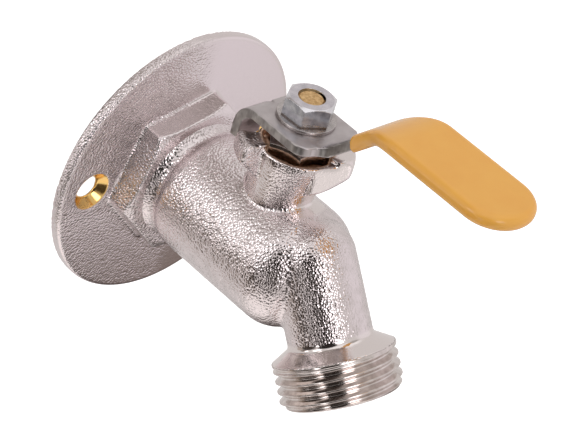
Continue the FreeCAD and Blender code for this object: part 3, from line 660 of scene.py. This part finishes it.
# Light: a pale tent with darker stretches, dark round the camera, and bright softboxes
TENT = (0.70, 0.67, 0.66)
ROOM = (
    # Azimuth and elevation from the object, inner and outer angle in degrees, brightness.
    # Each is laid over those before it. First the tent's top and the table's near half
    (0, 90, 20, 50, (1.0, 0.98, 0.98)),
    (-140, -62, 20, 45, (1.1, 1.05, 1.03)),
    (-88, -45, 10, 28, (1.0, 0.96, 0.95)),
    # Darker and paler stretches of the table
    (0, -62, 16, 34, (0.10, 0.08, 0.075)),
    (-14, -48, 8, 18, (0.22, 0.18, 0.16)),
    (-42, -30, 8, 20, (0.81, 0.76, 0.79)),
    (-62, -24, 4, 9, (1.15, 1.1, 1.1)),
    (-93, -32, 5, 12, (0.40, 0.36, 0.35)),
    (152, -33, 5, 12, (0.44, 0.38, 0.34)),
    (166, -36, 5, 12, (0.38, 0.32, 0.27)),
    # The tent's walls
    (-30, 12, 15, 35, (0.84, 0.80, 0.82)),
    (110, 52, 14, 30, (0.34, 0.30, 0.28)),
    (-58, 55, 8, 20, (0.42, 0.40, 0.38)),
    (100, 8, 12, 24, (0.08, 0.06, 0.05)),
    # The dark side, where the camera stands
    (-148, 21, 21, 29, (0.02, 0.016, 0.014)),
    (-134, -10, 12, 22, (0.06, 0.05, 0.045)),
    (-142, -33, 8, 17, (0.07, 0.06, 0.055)),
    (176, -17, 14, 24, (0.05, 0.04, 0.035)),
    (147, -12, 6, 13, (0.16, 0.12, 0.09)),
    # Softboxes
    (-112, 24, 8, 14, (3.6, 3.5, 3.6)),
    (-162, -2, 3, 6, (2.8, 2.7, 2.7)),
    (132, 42, 2, 5, (3.2, 3.2, 3.2)),
    (164, 26, 6, 12, (3.6, 3.6, 3.7)),
    (148, 1, 4, 8, (2.6, 2.5, 2.5)),
)


def bearing(azimuth, elevation):
    """The way to a place in the room, given in degrees."""
    turn, lift = math.radians(azimuth), math.radians(elevation)
    return Vector((math.cos(turn) * math.cos(lift), math.sin(turn) * math.cos(lift), math.sin(lift)))


def room_colour(tree, way):
    """The room's brightness in a direction from the object."""
    colour = TENT
    for azimuth, elevation, inner, outer, tone in ROOM:
        lined = calculate_vector(tree, "DOT_PRODUCT", way, bearing(azimuth, elevation))
        patch = mapped(tree, lined, 0.0, 1.0, math.cos(math.radians(outer)), math.cos(math.radians(inner)),
                       "SMOOTHSTEP")
        colour = mixed(tree, patch, colour, tone)
    return colour


def for_camera(tree, seen, otherwise):
    """One shader for what the camera sees directly and another for everything else."""
    rays = tree.nodes.new("ShaderNodeLightPath")
    choose = tree.nodes.new("ShaderNodeMixShader")
    plug(tree, rays.outputs["Is Camera Ray"], choose.inputs["Fac"])
    plug(tree, otherwise, choose.inputs[1])
    plug(tree, seen, choose.inputs[2])
    return choose.outputs["Shader"]


def studio():
    """The room that lights the object, behind a white backdrop for the camera."""
    world = bpy.data.worlds.new("studio")
    bpy.context.scene.world = world
    world.use_nodes = True
    tree = world.node_tree
    room = tree.nodes["Background"]
    way = tree.nodes.new("ShaderNodeTexCoord").outputs["Generated"]
    plug(tree, room_colour(tree, way), room.inputs["Color"])
    backdrop = tree.nodes.new("ShaderNodeBackground")
    backdrop.inputs["Color"].default_value = (1, 1, 1, 1)
    plug(tree, for_camera(tree, backdrop.outputs["Background"], room.outputs["Background"]),
         tree.nodes["World Output"].inputs["Surface"])


def floor_surface():
    """A pale table with a faint glow for the camera, and the room's own tones for everything else."""
    centre = (0.0, -0.04, 0.0)
    surface = bpy.data.materials.new("floor")
    surface.use_nodes = True
    tree = surface.node_tree
    shader = tree.nodes["Principled BSDF"]
    shader.inputs["Base Color"].default_value = (0.85, 0.85, 0.85, 1)
    shader.inputs["Roughness"].default_value = 0.9
    glow = tree.nodes.new("ShaderNodeEmission")
    glow.inputs["Strength"].default_value = 0.6
    lit = tree.nodes.new("ShaderNodeAddShader")
    plug(tree, shader.outputs["BSDF"], lit.inputs[0])
    plug(tree, glow.outputs["Emission"], lit.inputs[1])
    where = tree.nodes.new("ShaderNodeTexCoord").outputs["Object"]
    way = calculate_vector(tree, "NORMALIZE", calculate_vector(tree, "SUBTRACT", where, centre))
    mirrored = tree.nodes.new("ShaderNodeEmission")
    plug(tree, room_colour(tree, way), mirrored.inputs["Color"])
    plug(tree, for_camera(tree, lit.outputs["Shader"], mirrored.outputs["Emission"]),
         tree.nodes["Material Output"].inputs["Surface"])
    return surface


def floor():
    """A wide table under the object, in metres."""
    half, height = 3.0, -0.12
    corners = [(x, y, height) for x, y in ((-half, -half), (half, -half), (half, half), (-half, half))]
    mesh = bpy.data.meshes.new("floor")
    mesh.from_pydata(corners, [], [(0, 1, 2, 3)])
    mesh.materials.append(floor_surface())
    table = bpy.data.objects.new("floor", mesh)
    bpy.context.scene.collection.objects.link(table)


# The scene
show("body_casting", body_casting(), "valve", "valve_body")
show("flange_casting", flange_casting(), "valve", "inlet_flange")
show("hose_thread", hose_thread(), "valve")
show("gland_hexagon", crisp("gland_nut", bevel=0.35), "valve", "gland_nut")
show("lever_sheet", lever_sheet(), "handle", "lever")
show("grip_coat", eased("lever_grip", voxel=0.3, passes=3), "handle", "lever_grip")
show("nut_on_stem", crisp("handle_nut", bevel=0.2), "handle", "handle_nut")
show("washer_on_stem", crisp("handle_washer", bevel=0.15), "handle", "handle_washer")
dress()
stand_camera()
studio()
floor()
bpy.context.scene.view_settings.view_transform = "Standard"
